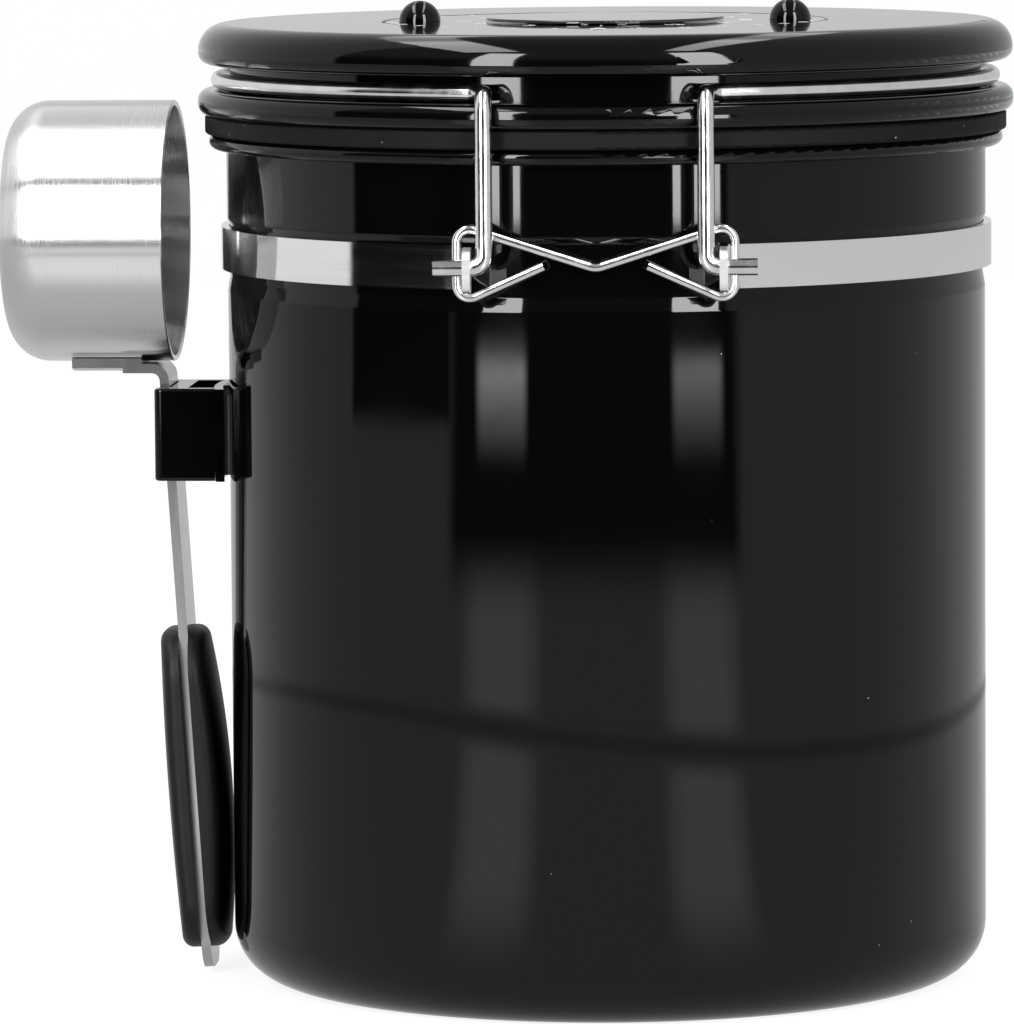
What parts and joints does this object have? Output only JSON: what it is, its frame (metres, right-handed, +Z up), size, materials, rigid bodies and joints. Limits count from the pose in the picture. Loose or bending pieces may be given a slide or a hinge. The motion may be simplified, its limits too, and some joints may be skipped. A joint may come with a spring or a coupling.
{
  "type": "coffee canister with valve",
  "caption": "Round metal coffee canister with a wire-hinged lid that holds a degassing valve and a date dial, and a scoop clipped to its wall.",
  "frame": {"origin": "centre of the flat base, on the canister's axis", "axes": "+Z up along the canister's axis; -Y is the hinge side, +Y the latch side, and the scoop hangs at -X"},
  "size_m": [0.1607, 0.1389, 0.1552],
  "materials": {
    "body_coat": "gloss black coating",
    "polished_steel": "polished",
    "polished_wire": "polished drawn wire",
    "bond_tape": "matte bonding tape",
    "clip_plastic": "gloss black",
    "lid_plastic": "gloss black",
    "seal_rubber": "matte black silicone",
    "badge_gloss": "mirror gloss black",
    "valve_plastic": "satin dark grey",
    "valve_rubber": "matte translucent silicone, shown grey",
    "filter_disc": "porous pressed fibre",
    "screw_steel": "plain steel",
    "brushed_cup": "circular brushed",
    "brushed_strap": "brushed along its length",
    "grip_plastic": "satin black"
  },
  "bodies": {
    "canister": {"canister_shell": "body_coat", "neck_band": "polished_steel", "hinge_spring": "polished_wire", "latch_catch": "polished_steel", "catch_rivets": "polished_steel", "holder_tape": "bond_tape", "holder_plate": "clip_plastic", "holder_clip": "clip_plastic"},
    "lid": {"lid_base": "lid_plastic", "lid_gasket": "seal_rubber", "lid_cap": "lid_plastic", "bail_wire": "polished_wire", "centre_badge": "badge_gloss", "valve_housing": "valve_plastic", "valve_filter": "filter_disc", "valve_retainer": "valve_plastic", "lid_screws": "screw_steel"},
    "dial": {"date_dial": "lid_plastic"},
    "valve": {"valve_flap": "valve_rubber"},
    "latch": {"latch_lever": "polished_steel"},
    "scoop": {"scoop_cup": "brushed_cup", "scoop_strap": "brushed_strap", "grip_outer": "grip_plastic", "grip_inner": "grip_plastic", "grip_rivets": "screw_steel"}
  },
  "joints": [
    {"name": "lid_hinge", "type": "hinge", "parent": "canister", "child": "lid", "pos_m": [0, -0.0645, 0.11715], "axis": [1, 0, 0], "range_deg": [0, 105]},
    {"name": "latch_swing", "type": "hinge", "parent": "lid", "child": "latch", "pos_m": [0, 0.0675, 0.14315], "axis": [1, 0, 0], "range_deg": [-6, 100]},
    {"name": "dial_turn", "type": "hinge", "parent": "lid", "child": "dial", "pos_m": [0, 0, 0.1498], "axis": [0, 0, 1], "continuous": true},
    {"name": "valve_lift", "type": "slide", "parent": "lid", "child": "valve", "axis": [0, 0, 1], "range_m": [0, 0.0008], "stiffness_N_per_m": 20},
    {"name": "scoop_pull", "type": "slide", "parent": "canister", "child": "scoop", "axis": [-0.9993, 0.0366, 0], "range_m": [0, 0.06]}
  ]
}
